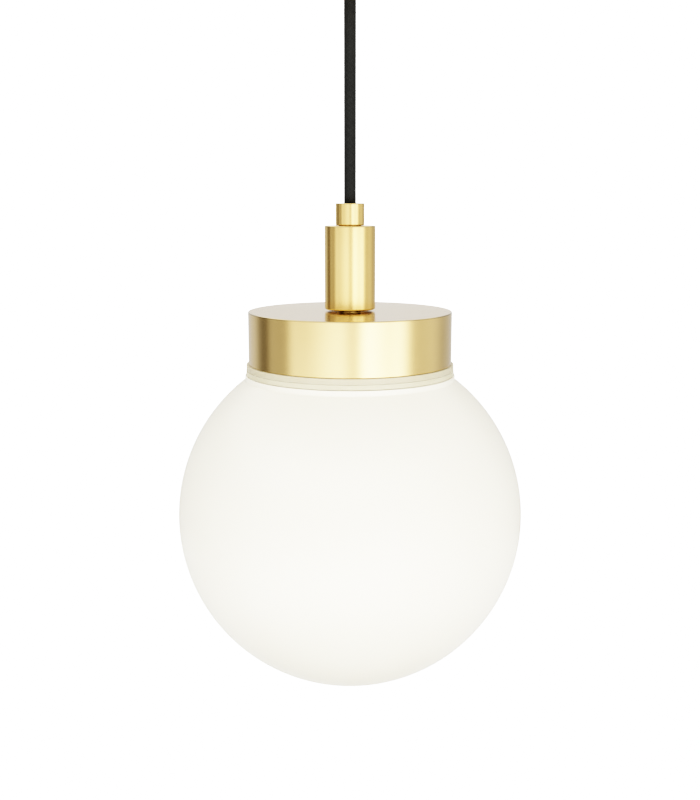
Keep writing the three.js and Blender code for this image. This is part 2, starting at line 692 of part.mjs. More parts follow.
const shoulderTop = SEAL_BOTTOM - GAP;
const SHOULDER_EDGE = 1.6;
const angleAt = (radius, sphere) =>
  THREE.MathUtils.radToDeg(Math.acos(radius / sphere));
const innerSphere = GLOBE_RADIUS - GLOBE_WALL;
const neckInner = GLOBE_THREAD.root - GLOBE_WALL - 0.5;
const shoulderAngle = angleAt(GLOBE_SHOULDER_RADIUS, GLOBE_RADIUS);
const globe = turned([
  ...arc(0, GLOBE_CENTRE, GLOBE_RADIUS, -90, 0, 6),
  ...arc(0, GLOBE_CENTRE, GLOBE_RADIUS, 0, shoulderAngle, 4).slice(1),
  [GLOBE_SHOULDER_RADIUS, shoulderTop - SHOULDER_EDGE],
  [GLOBE_SHOULDER_RADIUS - SHOULDER_EDGE, shoulderTop],
  ...rows(GLOBE_THREAD.root, shoulderTop, GLOBE_NECK_TOP, THREAD_ROW),
  [neckInner, GLOBE_NECK_TOP],
  ...arc(0, GLOBE_CENTRE, innerSphere, angleAt(neckInner, innerSphere), -90, 9),
]);
threaded(globe, GLOBE_THREAD, GLOBE_THREAD.root, INSERT_BOTTOM, GLOBE_NECK_TOP, false);
add(pendant, "globe_glass", opal, globe);

// ---- Lamp ----

const TIP_HEIGHT = 1.8;
const tipBottom = LAMP_TIP_TOP - TIP_HEIGHT;
const tip = turned(
  [[0, tipBottom], [4.8, tipBottom], [4.6, LAMP_TIP_TOP - 0.9], [2.6, LAMP_TIP_TOP], [0, LAMP_TIP_TOP]],
  SMALL_ROUND,
);
add(pendant, "lamp_tip", nickel, tip);

const insulatorTop = tipBottom - GAP;
const insulatorBottom = insulatorTop - 1.8;
const insulator = turned(
  [[0, insulatorBottom], [10.4, insulatorBottom], [6, insulatorTop], [0, insulatorTop]],
  SMALL_ROUND,
);
add(pendant, "lamp_insulator", blackGlass, insulator);

const lampShellTop = insulatorBottom - GAP;
const lampShellBottom = lampShellTop - 22;
const lampShell = turned(
  [
    [9.6, lampShellTop],
    ...rows(LAMP_THREAD.root, lampShellTop - 0.6, lampShellBottom, LAMP_ROW),
    [LAMP_THREAD.root - 0.9, lampShellBottom],
    [LAMP_THREAD.root - 0.9, lampShellTop - 1.2],
    [9.2, lampShellTop - 0.8],
  ],
  24,
);
threaded(
  lampShell,
  LAMP_THREAD,
  LAMP_THREAD.root,
  lampShellBottom + 2,
  lampShellTop - 0.6,
  false,
);
add(pendant, "lamp_shell", nickel, lampShell);

const LAMP_WALL = 1.2;
const lampBottom = LAMP_TIP_TOP - LAMP_LENGTH;
const lampCentre = lampBottom + LAMP_RADIUS;
const bodyTop = lampShellBottom - GAP;
const bodySplit = lampCentre + 12;
const splitRadius = Math.sqrt(LAMP_RADIUS ** 2 - 12 ** 2);
const lampCollar = turned(
  [
    [LAMP_THREAD.root + 1, bodyTop],
    [LAMP_THREAD.root + 4, bodyTop - 5],
    [splitRadius, bodySplit + GAP],
    [splitRadius - LAMP_WALL * 1.5, bodySplit + GAP],
    [LAMP_THREAD.root + 2, bodyTop - 5],
    [LAMP_THREAD.root - 1, bodyTop],
  ],
  MEDIUM_ROUND,
);
add(pendant, "lamp_body", lampPlastic, lampCollar);

const bulbAngle = THREE.MathUtils.radToDeg(Math.asin(12 / LAMP_RADIUS));
const bulb = turned(
  [
    ...arc(0, lampCentre, LAMP_RADIUS, -90, bulbAngle, 6),
    ...arc(0, lampCentre, LAMP_RADIUS - LAMP_WALL, bulbAngle, -90, 6),
  ],
  MEDIUM_ROUND,
);
add(pendant, "lamp_bulb", lampGlass, bulb);

export default pendantLight;
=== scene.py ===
"""Looks for a pendant ceiling light: opal glass globe, satin brass fittings and a braided cord.

Metres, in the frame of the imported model: the ceiling is z = 0 and the light hangs down -Z.
"""

import json
import math
from collections import namedtuple
from types import SimpleNamespace

import bmesh
import bpy
import numpy as np
from mathutils import Matrix, Vector


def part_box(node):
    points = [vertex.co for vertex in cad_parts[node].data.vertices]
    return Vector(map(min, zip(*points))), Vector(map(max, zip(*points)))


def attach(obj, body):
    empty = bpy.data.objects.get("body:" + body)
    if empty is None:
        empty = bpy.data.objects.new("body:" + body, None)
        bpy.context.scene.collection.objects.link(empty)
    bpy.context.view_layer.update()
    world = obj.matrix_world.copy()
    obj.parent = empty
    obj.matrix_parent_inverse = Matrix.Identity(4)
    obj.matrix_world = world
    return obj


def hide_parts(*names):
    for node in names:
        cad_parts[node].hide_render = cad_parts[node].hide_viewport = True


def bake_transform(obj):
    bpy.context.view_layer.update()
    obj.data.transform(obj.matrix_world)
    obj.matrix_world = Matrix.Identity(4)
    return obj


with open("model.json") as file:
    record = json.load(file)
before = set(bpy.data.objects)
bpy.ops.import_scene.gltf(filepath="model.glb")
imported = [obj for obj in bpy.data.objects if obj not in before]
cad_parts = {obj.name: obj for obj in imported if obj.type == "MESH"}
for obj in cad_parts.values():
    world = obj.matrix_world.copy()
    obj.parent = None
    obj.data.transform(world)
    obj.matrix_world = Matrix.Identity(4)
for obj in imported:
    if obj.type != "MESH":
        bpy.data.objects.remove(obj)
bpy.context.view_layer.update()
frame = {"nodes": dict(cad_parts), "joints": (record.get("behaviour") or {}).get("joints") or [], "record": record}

MM = 0.001

# ---- Places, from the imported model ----

GALLERY_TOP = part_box("gallery")[1].z
CEILING = 0.0
JOINTS = {joint["name"]: joint for joint in frame["joints"]}
BEND_X = JOINTS["swing_x"]["pos_m"][2]


def extent(node, base=GALLERY_TOP):
    """Radius, foot and top of a turned node in millimetres, with its heights above base."""
    low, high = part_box(node)
    return SimpleNamespace(radius=-low.y / MM, foot=(low.z - base) / MM, top=(high.z - base) / MM)


CORD_BORE = 3.6
TUBE_HOLE = 5.1
BRASS_WALL = 1.2
SEAM = 0.02  # left between faces that meet
LIP = 0.13  # how far a moulded rim closes the modelling gap below it
SEAL_LIP = 0.2  # how far the seal's foot is drawn below its solid

# ---- Camera ----

CAMERA_DISTANCE = 0.6343
CAMERA_RISE = 0.0639  # above the gallery's top face
CAMERA_PITCH = math.radians(10.345)
LENS = 50

camera = bpy.data.objects.new("camera", bpy.data.cameras.new("camera"))
camera.data.lens = LENS
camera.data.sensor_width = 36
camera.data.clip_start = 0.01
camera.location = (0, -CAMERA_DISTANCE, GALLERY_TOP + CAMERA_RISE)
camera.rotation_euler = (math.pi / 2 - CAMERA_PITCH, 0, 0)
bpy.context.scene.collection.objects.link(camera)
bpy.context.scene.camera = camera

# ---- Node helpers ----


def add_node(tree, kind, inputs=None, **settings):
    """A shader node with its settings, and its inputs set or linked."""
    node = tree.nodes.new(kind)
    for name, value in settings.items():
        setattr(node, name, value)
    for key, value in (inputs or {}).items():
        socket = node.inputs[key]
        if isinstance(value, bpy.types.NodeSocket):
            tree.links.new(value, socket)
        else:
            socket.default_value = value
    return node


def maths(tree, operation, *values):
    inputs = dict(enumerate(values))
    return add_node(tree, "ShaderNodeMath", inputs, operation=operation).outputs[0]


def ramp(tree, factor, stops, interpolation="LINEAR"):
    """A colour ramp through (place, colour) stops."""
    node = add_node(tree, "ShaderNodeValToRGB", {"Fac": factor})
    node.color_ramp.interpolation = interpolation
    elements = node.color_ramp.elements
    while len(elements) < len(stops):
        elements.new(0.5)
    for element, (place, colour) in zip(elements, stops):
        element.position = place
        element.color = (*colour, 1)
    return node.outputs["Color"]


def spread(tree, factor, low, high):
    """The factor from 0 to 1, mapped to low to high."""
    inputs = {"Value": factor, "To Min": low, "To Max": high}
    return add_node(tree, "ShaderNodeMapRange", inputs).outputs["Result"]


def mixed(tree, factor, first, second):
    node = add_node(tree, "ShaderNodeMix", data_type="RGBA")
    sockets = {"Factor": node.inputs[0], "A": node.inputs[6], "B": node.inputs[7]}
    for key, value in (("Factor", factor), ("A", first), ("B", second)):
        if isinstance(value, bpy.types.NodeSocket):
            tree.links.new(value, sockets[key])
        elif key == "Factor":
            sockets[key].default_value = value
        else:
            sockets[key].default_value = (*value, 1)
    return node.outputs[2]


def noise(tree, vector, scale, detail, w=None):
    """Noise over a vector, and over a fourth number w if there is one."""
    inputs = {"Vector": vector, "Scale": scale, "Detail": detail}
    if w is None:
        return add_node(tree, "ShaderNodeTexNoise", inputs).outputs[0]
    inputs["W"] = w
    return add_node(tree, "ShaderNodeTexNoise", inputs, noise_dimensions="4D").outputs[0]


def new_material(name, **values):
    """A Principled material: (material, node tree, shader)."""
    material = bpy.data.materials.new(name)
    material.use_nodes = True
    tree = material.node_tree
    shader = tree.nodes["Principled BSDF"]
    for key, value in values.items():
        shader.inputs[key.replace("_", " ")].default_value = value
    return material, tree, shader


def position(tree):
    return add_node(tree, "ShaderNodeTexCoord").outputs["Object"]


def bump(tree, shader, height, strength, distance):
    inputs = {"Height": height, "Strength": strength, "Distance": distance}
    node = add_node(tree, "ShaderNodeBump", inputs)
    tree.links.new(node.outputs["Normal"], shader.inputs["Normal"])


# ---- Materials ----


def turned_coordinates(tree):
    """(unit vector round the axis, distance along a turned outline) of a piece turned about Z."""
    x, y, z = add_node(tree, "ShaderNodeSeparateXYZ", {0: position(tree)}).outputs
    flat = add_node(tree, "ShaderNodeCombineXYZ", {0: x, 1: y})
    direction = add_node(tree, "ShaderNodeVectorMath", {0: flat.outputs[0]}, operation="NORMALIZE")
    radius = add_node(tree, "ShaderNodeVectorMath", {0: flat.outputs[0]}, operation="LENGTH")
    return direction.outputs[0], maths(tree, "ADD", z, radius.outputs["Value"])


def satin_brass(name, low, high, rim, coat):
    """Lacquered brass with the fine rings that turning and brushing leave, deeper at the edges: painted shade, a
    darker rim colour mixed in over the rounded edges.
    """
    material, tree, shader = new_material(
        name, Metallic=1.0, Coat_Weight=coat, Coat_Roughness=0.14, Anisotropic=0.3
    )
    around, along = turned_coordinates(tree)
    fine = noise(tree, around, 2.2, 2, w=maths(tree, "MULTIPLY", along, 5200))
    broad = noise(tree, around, 1.5, 2, w=maths(tree, "MULTIPLY", along, 260))
    cloud = noise(tree, position(tree), 22, 3)
    edge = add_node(tree, "ShaderNodeAttribute", attribute_name="edge").outputs["Fac"]
    tone = ramp(tree, cloud, [(0.3, low), (0.7, high)])
    # painted shade: over the rounded edges the tone gives way to the darker rim colour
    tone_with_painted_edge_shade = mixed(tree, maths(tree, "MULTIPLY", edge, 0.75), tone, rim)
    tree.links.new(tone_with_painted_edge_shade, shader.inputs["Base Color"])
    grain = maths(tree, "ADD", spread(tree, fine, 0.165, 0.235), spread(tree, broad, -0.02, 0.02))
    tree.links.new(maths(tree, "MULTIPLY_ADD", edge, -0.04, grain), shader.inputs["Roughness"])
    tangent = add_node(tree, "ShaderNodeTangent", direction_type="RADIAL", axis="Z")
    tree.links.new(tangent.outputs[0], shader.inputs["Tangent"])
    bump(tree, shader, fine, 0.12, 0.00002)
    return material


def opal_glass():
    """Cased opal glass: a milky body under a thin clear satin skin."""
    material, tree, shader = new_material(
        "opal_glass",
        Roughness=0.34,
        IOR=1.5,
        Subsurface_Weight=0.35,
        Subsurface_Radius=(1.0, 0.93, 0.86),
        Subsurface_Scale=0.004,
        Coat_Weight=0.25,
        Coat_Roughness=0.22,
    )
    flow = noise(tree, position(tree), 9, 2)
    tone = ramp(tree, flow, [(0.35, (0.958, 0.885, 0.725)), (0.65, (0.968, 0.90, 0.75))])
    tree.links.new(tone, shader.inputs["Base Color"])
    frosting = noise(tree, position(tree), 60, 3)
    tree.links.new(spread(tree, frosting, 0.30, 0.38), shader.inputs["Roughness"])
    ripple = noise(tree, position(tree), 34, 2)
    bump(tree, shader, ripple, 0.08, 0.0004)
    return material


def moulded(name, low, high, roughness, scatter=0.0, coat=0.0):
    """Moulded plastic, rubber or porcelain with a faint flow pattern and skin texture."""
    material, tree, shader = new_material(
        name,
        Subsurface_Weight=scatter,
        Subsurface_Radius=(1.0, 0.9, 0.75),
        Subsurface_Scale=0.003,
        Coat_Weight=coat,
        Coat_Roughness=0.12,
    )
    flow = noise(tree, position(tree), 45, 3)
    tree.links.new(ramp(tree, flow, [(0.3, low), (0.7, high)]), shader.inputs["Base Color"])
    skin = noise(tree, position(tree), 1800, 2)
    rough = spread(tree, skin, roughness - 0.05, roughness + 0.06)
    tree.links.new(rough, shader.inputs["Roughness"])
    bump(tree, shader, skin, 0.12, 0.00003)
    return material


def metal(name, low, high, roughness):
    """Bare or plated metal with a faint mottled tone and scratches."""
    material, tree, shader = new_material(name, Metallic=1.0, Anisotropic=0.2)
    cloud = noise(tree, position(tree), 140, 4)
    tree.links.new(ramp(tree, cloud, [(0.3, low), (0.7, high)]), shader.inputs["Base Color"])
    around, along = turned_coordinates(tree)
    fine = noise(tree, around, 3, 2, w=maths(tree, "MULTIPLY", along, 4000))
    both = maths(tree, "MULTIPLY_ADD", cloud, 0.5, maths(tree, "MULTIPLY", fine, 0.5))
    rough = spread(tree, both, roughness - 0.1, roughness + 0.1)
    tree.links.new(rough, shader.inputs["Roughness"])
    bump(tree, shader, fine, 0.15, 0.00002)
    return material


def textile_braid():
    """Charcoal polyester braid: yarn by yarn tone, painted shade in the crevices between the yarns, fibres along
    each yarn and a soft sheen.
    """
    material, tree, shader = new_material("textile_braid", Sheen_Weight=0.08, Sheen_Roughness=0.45)
    shader.inputs["Specular IOR Level"].default_value = 0.3
    yarn = add_node(tree, "ShaderNodeAttribute", attribute_name="yarn").outputs["Fac"]
    depth = add_node(tree, "ShaderNodeAttribute", attribute_name="depth").outputs["Fac"]
    fibres = noise(tree, position(tree), 5200, 3)
    tone = ramp(tree, yarn, [(0.0, (0.017, 0.017, 0.016)), (1.0, (0.030, 0.030, 0.028))])
    # painted shade: the crevices between the yarns, where the relief is low, are darkened
    shaded = mixed(tree, spread(tree, depth, 0.5, 0.0), tone, (0.008, 0.008, 0.007))
    fuzz = mixed(tree, spread(tree, fibres, 0.0, 0.35), shaded, (0.038, 0.038, 0.036))
    tree.links.new(fuzz, shader.inputs["Base Color"])
    tree.links.new(spread(tree, fibres, 0.55, 0.75), shader.inputs["Roughness"])
    bump(tree, shader, fibres, 0.3, 0.00004)
    return material


def striped_pvc():
    """Green and yellow insulation."""
    material, tree, shader = new_material("earth_pvc", Roughness=0.42)
    x, y, _ = add_node(tree, "ShaderNodeSeparateXYZ", {0: position(tree)}).outputs
    stripe = maths(tree, "SINE", maths(tree, "MULTIPLY", maths(tree, "ADD", x, y), 1400))
    side = maths(tree, "GREATER_THAN", stripe, 0.0)
    colour = mixed(tree, side, (0.08, 0.33, 0.07), (0.80, 0.62, 0.05))
    tree.links.new(colour, shader.inputs["Base Color"])
    bump(tree, shader, noise(tree, position(tree), 1500, 2), 0.1, 0.00003)
    return material


# The third colour of each brass is painted shade for its rounded edges.
BRASS = satin_brass(
    "satin_brass", (0.815, 0.60, 0.285), (0.86, 0.64, 0.32), (0.42, 0.335, 0.18), coat=0.72
)
DEEP_BRASS = satin_brass(
    "deep_brass", (0.86, 0.61, 0.27), (0.90, 0.65, 0.30), (0.52, 0.43, 0.235), coat=0.3
)
OPAL = opal_glass()
BRAID = textile_braid()
SILICONE = moulded("silicone", (0.585, 0.535, 0.385), (0.63, 0.58, 0.43), 0.42, 0.4, 0.1)
RIM_NYLON = moulded("natural_nylon", (0.51, 0.46, 0.33), (0.55, 0.50, 0.37), 0.38, 0.4, 0.1)
NYLON = moulded("nylon", (0.80, 0.78, 0.72), (0.85, 0.83, 0.78), 0.4, 0.2)
HOLDER = moulded("holder_plastic", (0.78, 0.76, 0.71), (0.82, 0.80, 0.76), 0.3, 0.0, 0.3)
PORCELAIN = moulded("porcelain", (0.84, 0.82, 0.78), (0.88, 0.865, 0.83), 0.22, 0.1, 0.8)
LAMP_PLASTIC = moulded("lamp_plastic", (0.84, 0.84, 0.83), (0.88, 0.88, 0.87), 0.38, 0.1)
DIFFUSER = moulded("lamp_diffuser", (0.88, 0.875, 0.85), (0.91, 0.905, 0.885), 0.36, 0.5)
BLACK_GLASS = moulded("black_glass", (0.008, 0.008, 0.008), (0.014, 0.014, 0.013), 0.12)
BROWN_PVC = moulded("brown_pvc", (0.12, 0.05, 0.022), (0.15, 0.065, 0.03), 0.42)
BLUE_PVC = moulded("blue_pvc", (0.03, 0.16, 0.45), (0.045, 0.20, 0.52), 0.42)
EARTH_PVC = striped_pvc()
STEEL = metal("zinc_steel", (0.50, 0.51, 0.53), (0.62, 0.63, 0.65), 0.36)
NICKEL = metal("nickel", (0.58, 0.56, 0.53), (0.68, 0.66, 0.63), 0.22)
BRONZE = metal("bronze", (0.60, 0.36, 0.22), (0.70, 0.44, 0.28), 0.3)

SLOT_MATERIAL = {
    "brass": BRASS,
    "steel": STEEL,
    "nickel": NICKEL,
    "bronze": BRONZE,
    "braid": BRAID,
    "opal_glass": OPAL,
    "silicone": SILICONE,
    "translucent_nylon": RIM_NYLON,
    "nylon": NYLON,
    "holder_plastic": HOLDER,
    "porcelain": PORCELAIN,
    "lamp_plastic": LAMP_PLASTIC,
    "lamp_diffuser": DIFFUSER,
    "black_glass": BLACK_GLASS,
    "brown_pvc": BROWN_PVC,
    "blue_pvc": BLUE_PVC,
    "earth_pvc": EARTH_PVC,
}
NODE_SLOT = {part["node"]: part["material_slot"] for part in frame["record"]["subparts"]}
NODE_BODY = {
    node: body for body, nodes in frame["record"]["behaviour"]["bodies"].items() for node in nodes
}
DEEP_BRASS_NODES = ("stem", "collar", "neck_spacer")


def finish_of(node):
    return DEEP_BRASS if node in DEEP_BRASS_NODES else SLOT_MATERIAL[NODE_SLOT[node]]


for node, cad_object in frame["nodes"].items():
    cad_object.data.materials.clear()
    cad_object.data.materials.append(finish_of(node))

# ---- Meshes ----


def new_object(name, vertices, faces, stands_for):
    """A mesh with the finish of the CAD node that it stands for."""
    mesh = bpy.data.meshes.new(name)
    mesh.from_pydata([tuple(v) for v in vertices], [], faces)
    mesh.validate()
    mesh.shade_smooth()
    mesh.materials.append(finish_of(stands_for[0]))
    piece = bpy.data.objects.new(name, mesh)
    bpy.context.scene.collection.objects.link(piece)
    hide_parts(*stands_for)
    return piece


def rounded(outline, closed):
    """Points and edge marks of an outline of (radius, height, corner radius) corners.

    Each corner with a radius becomes an arc, with a held point on each side of it, so that flat
    faces stay flat when shaded smooth.
    """
    corners = [(Vector((r, z)), fillet) for r, z, fillet in outline]
    count = len(corners)
    points, marks = [], []
    for i, (corner, fillet) in enumerate(corners):
        before = corners[i - 1][0] if i or closed else None
        after = corners[(i + 1) % count][0] if i < count - 1 or closed else None
        if before is None or after is None or fillet == 0:
            points.append(corner)
            marks.append(0.0)
            continue
        back, ahead = before - corner, after - corner
        reach = min(fillet, 0.42 * back.length, 0.42 * ahead.length)
        start, end = corner + back.normalized() * reach, corner + ahead.normalized() * reach
        held = min(0.25 * reach, 0.00012)
        points.append(start + back.normalized() * held)
        marks.append(0.0)
        steps = 7
        for k in range(steps + 1):
            t = k / steps
            points.append(start * (1 - t) ** 2 + corner * 2 * t * (1 - t) + end * t**2)
            marks.append(1.0)
        points.append(end + ahead.normalized() * held)
        marks.append(0.0)
    return points, marks


def lathe(name, points, marks, stands_for, closed, sides, press):
    """Turns (radius, height) points about Z. press(angle, radius, height) may move the radius."""
    angles = np.linspace(0, 2 * math.pi, sides, endpoint=False)
    vertices, rings, edge = [], [], []
    for (r, z), mark in zip(points, marks):
        if r < 1e-7:
            rings.append([len(vertices)] * sides)
            vertices.append((0, 0, z))
            edge.append(mark)
            continue
        radii = np.full(sides, r) if press is None else press(angles, r, z)
        rings.append(range(len(vertices), len(vertices) + sides))
        vertices.extend(zip(radii * np.cos(angles), radii * np.sin(angles), np.full(sides, z)))
        edge.extend([mark] * sides)
    faces = []
    pairs = list(zip(rings, rings[1:])) + ([(rings[-1], rings[0])] if closed else [])
    for low, high in pairs:
        for j in range(sides):
            k = (j + 1) % sides
            corners = [low[j], low[k], high[k], high[j]]
            faces.append(tuple(dict.fromkeys(corners)))
    piece = new_object(name, vertices, faces, stands_for)
    attribute = piece.data.attributes.new("edge", "FLOAT", "POINT")
    attribute.data.foreach_set("value", np.array(edge, np.float32))
    outward(piece)
    return piece


def outward(piece):
    """Turns the faces out if the mesh encloses a negative volume."""
    mesh = piece.data
    mesh.calc_loop_triangles()
    corners = np.zeros(len(mesh.loop_triangles) * 3, np.int32)
    mesh.loop_triangles.foreach_get("vertices", corners)
    places = np.zeros(len(mesh.vertices) * 3)
    mesh.vertices.foreach_get("co", places)
    a, b, c = places.reshape(-1, 3)[corners.reshape(-1, 3)].transpose(1, 0, 2)
    if np.einsum("ij,ij->i", a, np.cross(b, c)).sum() < 0:
        mesh.flip_normals()


def turned_piece(
    name, outline, *stands_for, closed=True, sides=192, base=GALLERY_TOP, press=None
):
    """A turned piece from an outline in millimetres, measured up from base."""
    metres = [(r * MM, base + z * MM, fillet * MM) for r, z, fillet in outline]
    points, marks = rounded(metres, closed)
    piece = lathe(name, points, marks, stands_for, closed, sides, press)
    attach(piece, NODE_BODY[stands_for[0]])
    return piece


# ---- Cord ----

CORD_RADIUS = extent("cord_tail").radius * MM
YARNS = 24  # yarns that wind each way
BRAID_PITCH = 15 * MM  # rise of a yarn in one turn
BRAID_RELIEF = 0.10 * MM
BRAID_MEAN = 0.4  # the height in the relief that lies on the cord's radius
CORD_SIDES = 144
CORD_STEP = 0.22 * MM
CORD_ENTRY = 1.5 * MM  # how far the cord goes into the collar before its next length begins


def braid_height(angle, z):
    """(relief from 0 to 1, tone from 0 to 1) of a plain braid of two families of yarns."""
    turn, rise = YARNS * angle / (2 * math.pi), YARNS * z / BRAID_PITCH
    a, b = turn + rise, turn - rise
    i, j = np.floor(a), np.floor(b)
    across_a, across_b = 2 * (a - i) - 1, 2 * (b - j) - 1
    lift_a = np.where(i % 2 == 0, 1, -1) * np.cos(np.pi * (b - 0.5))
    lift_b = -np.where(j % 2 == 0, 1, -1) * np.cos(np.pi * (a - 0.5))
    top_a = 0.55 * np.sqrt(np.clip(1 - across_a**2, 0, 1)) + 0.3 * lift_a
    top_b = 0.55 * np.sqrt(np.clip(1 - across_b**2, 0, 1)) + 0.3 * lift_b
    relief = (np.maximum(top_a, top_b) + 0.3) / 1.15
    index = np.where(top_a > top_b, i, j + 0.37)
    tone = np.modf(np.abs(np.sin(index * 12.9898) * 43758.5453))[0]
    return np.clip(relief, 0, 1), tone


def braided_cord(name, top, foot, dome, *stands_for):
    """A straight braided cord from z = top to z = foot, with an optional domed upper end."""
    rows = max(2, int(round((top - foot) / CORD_STEP)) + 1)
    heights = np.linspace(top, foot, rows)
    angles = np.linspace(0, 2 * math.pi, CORD_SIDES, endpoint=False)
    vertices, relief, tone = [], [], []
    dome_rows = 10 if dome else 0
    for k in range(dome_rows):
        lift = math.radians(90 - 90 * k / dome_rows)
        r, z = CORD_RADIUS * 0.985 * math.cos(lift), top + CORD_RADIUS * math.sin(lift)
        vertices.extend(zip(r * np.cos(angles), r * np.sin(angles), np.full(CORD_SIDES, z)))
        relief.extend([0.6] * CORD_SIDES)
        tone.extend([0.5] * CORD_SIDES)
    for z in heights:
        height, shade = braid_height(angles, z)
        r = CORD_RADIUS + BRAID_RELIEF * (height - BRAID_MEAN)
        vertices.extend(zip(r * np.cos(angles), r * np.sin(angles), np.full(CORD_SIDES, z)))
        relief.extend(height)
        tone.extend(shade)
    total = rows + dome_rows
    faces = []
    for row in range(total - 1):
        for j in range(CORD_SIDES):
            k = (j + 1) % CORD_SIDES
            low, high = row * CORD_SIDES, (row + 1) * CORD_SIDES
            faces.append((low + j, high + j, high + k, low + k))
    faces.append(tuple(range(CORD_SIDES)))
    faces.append(tuple(reversed(range((total - 1) * CORD_SIDES, total * CORD_SIDES))))
    piece = new_object(name, vertices, faces, stands_for)
    for attribute_name, values in (("depth", relief), ("yarn", tone)):
        attribute = piece.data.attributes.new(attribute_name, "FLOAT", "POINT")
        attribute.data.foreach_set("value", np.array(values, np.float32))
    outward(piece)
    return piece


cord_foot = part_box("collar")[1].z - CORD_ENTRY
cord = braided_cord("cord_braid", BEND_X, cord_foot, True, "cord", "cord_top")
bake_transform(cord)

sheath = braided_cord(
    "cord_sheath", cord_foot - 0.1 * MM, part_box("cord_inner")[0].z, False, "cord_inner"
)
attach(sheath, "pendant")
tail_foot = BEND_X + CORD_RADIUS + 0.4 * MM
tail = braided_cord("cord_tail_braid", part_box("cord_tail")[1].z, tail_foot, False, "cord_tail")
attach(tail, "rose")

# ---- Brass fittings below the cord ----

STEM_SHOULDER = 48.1  # the stem's top face, round its spigot
STEM_WALL = 1.5
STEM_BEVEL = 0.6  # round its foot
SPIGOT_RADIUS = 6.3
SPIGOT_BORE = 5.0


def make_collar():
    collar = extent("collar")
    cap = collar.top - 2
    outline = [
        (CORD_BORE, collar.top, 0.5),
        (collar.radius, collar.top, 0.55),
        (collar.radius, collar.foot, 0.55),
        (SPIGOT_RADIUS + 0.3, collar.foot, 0.2),
        (SPIGOT_RADIUS + 0.3, cap, 0.3),
        (CORD_BORE, cap, 0.3),
    ]
    turned_piece("collar_sleeve", outline, "collar")


def make_stem():
    stem = extent("stem")
    inner = stem.radius - STEM_WALL
    outline = [
        (inner, stem.foot, 0.3),
        (stem.radius - STEM_BEVEL, stem.foot, 0.35),
        (stem.radius, stem.foot + STEM_BEVEL, 0.6),
        (stem.radius, STEM_SHOULDER, 0.6),
        (SPIGOT_RADIUS, STEM_SHOULDER, 0.2),
        (SPIGOT_RADIUS, stem.top, 0.4),
        (SPIGOT_BORE, stem.top, 0.3),
        (SPIGOT_BORE, STEM_SHOULDER - 3, 0.3),
        (inner, STEM_SHOULDER - 3, 0.6),
    ]
    turned_piece("stem_tube", outline, "stem")


def make_neck_ring():
    neck = extent("neck_spacer")
    outline = [
        (TUBE_HOLE, SEAM, 0.1),
        (neck.radius, SEAM, 0.1),
        (neck.radius, neck.top, 0.1),
        (TUBE_HOLE, neck.top, 0.1),
    ]
    turned_piece("neck_ring", outline, "neck_spacer")


def make_gallery():
    gallery = extent("gallery")
    inner = gallery.radius - BRASS_WALL
    outline = [
        (TUBE_HOLE, gallery.top, 0.15),
        (gallery.radius, gallery.top, 0.6),
        (gallery.radius, gallery.foot, 0.3),
        (inner, gallery.foot, 0.3),
        (inner, gallery.top - BRASS_WALL, 0.8),
        (TUBE_HOLE, gallery.top - BRASS_WALL, 0.15),
    ]
    turned_piece("gallery_drum", outline, "gallery", sides=256)


make_collar()
make_stem()
make_neck_ring()
make_gallery()

# ---- Threads ----

Thread = namedtuple("Thread", "pitch depth root play")
GLOBE_THREAD = Thread(pitch=8, depth=2.2, root=51.5, play=1)
LAMP_THREAD = Thread(pitch=3.629, depth=1.1, root=12, play=0.6)


def inner_wall(thread):
    """Radius of the wall that an inner thread is pressed into."""
    return thread.root + thread.depth + thread.play


def thread_press(thread, low, high, inner):
    """Presses the CAD solid's round thread into a wall, from low to high above the gallery's top."""
    wall = inner_wall(thread) if inner else thread.root

    def press(angles, radius, z):
        height = (z - GALLERY_TOP) / MM
        inside = min(height - low, high - height)
        if abs(radius / MM - wall) > 0.01 or inside <= 0:
            return np.full(len(angles), radius)
        run_in = min(1, inside / (thread.pitch / 2))
        crest = (1 + np.cos(2 * math.pi * height / thread.pitch - angles)) / 2
        lift = -thread.depth * (1 - crest) if inner else thread.depth * crest
        return radius + run_in * lift * MM

    return press


def wall_rows(radius, start, end, step):
    """Outline points up or down a straight wall, so that a thread has rows to follow."""
    count = max(2, math.ceil(abs(end - start) / step))
    return [(radius, height, 0) for height in np.linspace(start, end, count + 1)]


def sphere_rows(centre, radius, start, end, count):
    """Outline points on a sphere about the axis, angles in radians above the horizontal."""
    return [
        (max(radius * math.cos(angle), 0), centre + radius * math.sin(angle), 0)
        for angle in np.linspace(start, end, count)
    ]


# ---- Insert, seal and globe ----

SEAL_BORE = 54.5
THREAD_STEP = 0.5


def make_insert():
    insert, gallery = extent("thread_insert"), extent("gallery")
    body = gallery.radius - BRASS_WALL - 0.3
    wall = inner_wall(GLOBE_THREAD)
    foot = insert.foot - LIP
    floor = insert.top - 2
    thread_top = floor - 4
    outline = [
        (TUBE_HOLE, insert.top, 0),
        (body, insert.top, 0.6),
        (body, gallery.foot - SEAM, 0),
        (insert.radius, gallery.foot - SEAM, 0.5),
        (insert.radius, foot, 0.22),
        (wall + 0.4, foot, 0),
        *wall_rows(wall, foot + 0.4, thread_top, THREAD_STEP),
        (wall, floor, 0.6),
        (TUBE_HOLE, floor, 0),
    ]
    press = thread_press(GLOBE_THREAD, insert.foot, thread_top, True)
    turned_piece("insert_moulding", outline, "thread_insert", press=press)


def make_seal():
    seal, insert = extent("globe_seal"), extent("thread_insert")
    top, foot = insert.foot - LIP - SEAM, seal.foot - SEAL_LIP
    outline = [
        (SEAL_BORE, top, 0.2),
        (seal.radius - 0.1, top, 0.22),
        (seal.radius, foot, 0.25),
        (SEAL_BORE, foot, 0.2),
    ]
    turned_piece("seal_ring", outline, "globe_seal", sides=256)


